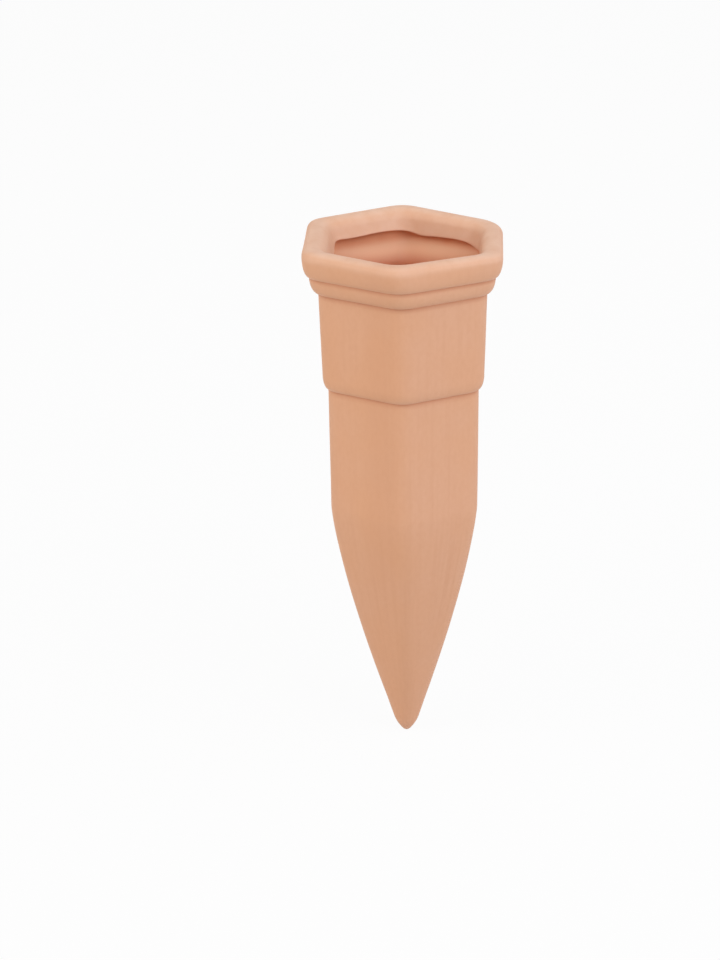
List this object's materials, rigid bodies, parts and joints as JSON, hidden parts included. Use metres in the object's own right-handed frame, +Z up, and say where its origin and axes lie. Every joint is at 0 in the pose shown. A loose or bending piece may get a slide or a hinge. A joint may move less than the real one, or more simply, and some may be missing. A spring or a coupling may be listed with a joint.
{
  "type": "self watering spike",
  "caption": "Hollow unglazed clay spike of hexagonal section, with a moulded rim round an open mouth, a stepped collar and a straight shank that tapers to a rounded tip.",
  "frame": {"origin": "the rounded tip, on the axis, at the lowest point", "axes": "+Z up along the axis to the mouth; flats of the hexagonal section face +X and -X, and corners point to +Y and -Y"},
  "size_m": [0.045, 0.05, 0.125],
  "materials": {
    "terracotta": "matte unglazed fired clay, pale orange"
  },
  "bodies": {
    "root": {"watering_spike": "terracotta"}
  },
  "joints": []
}
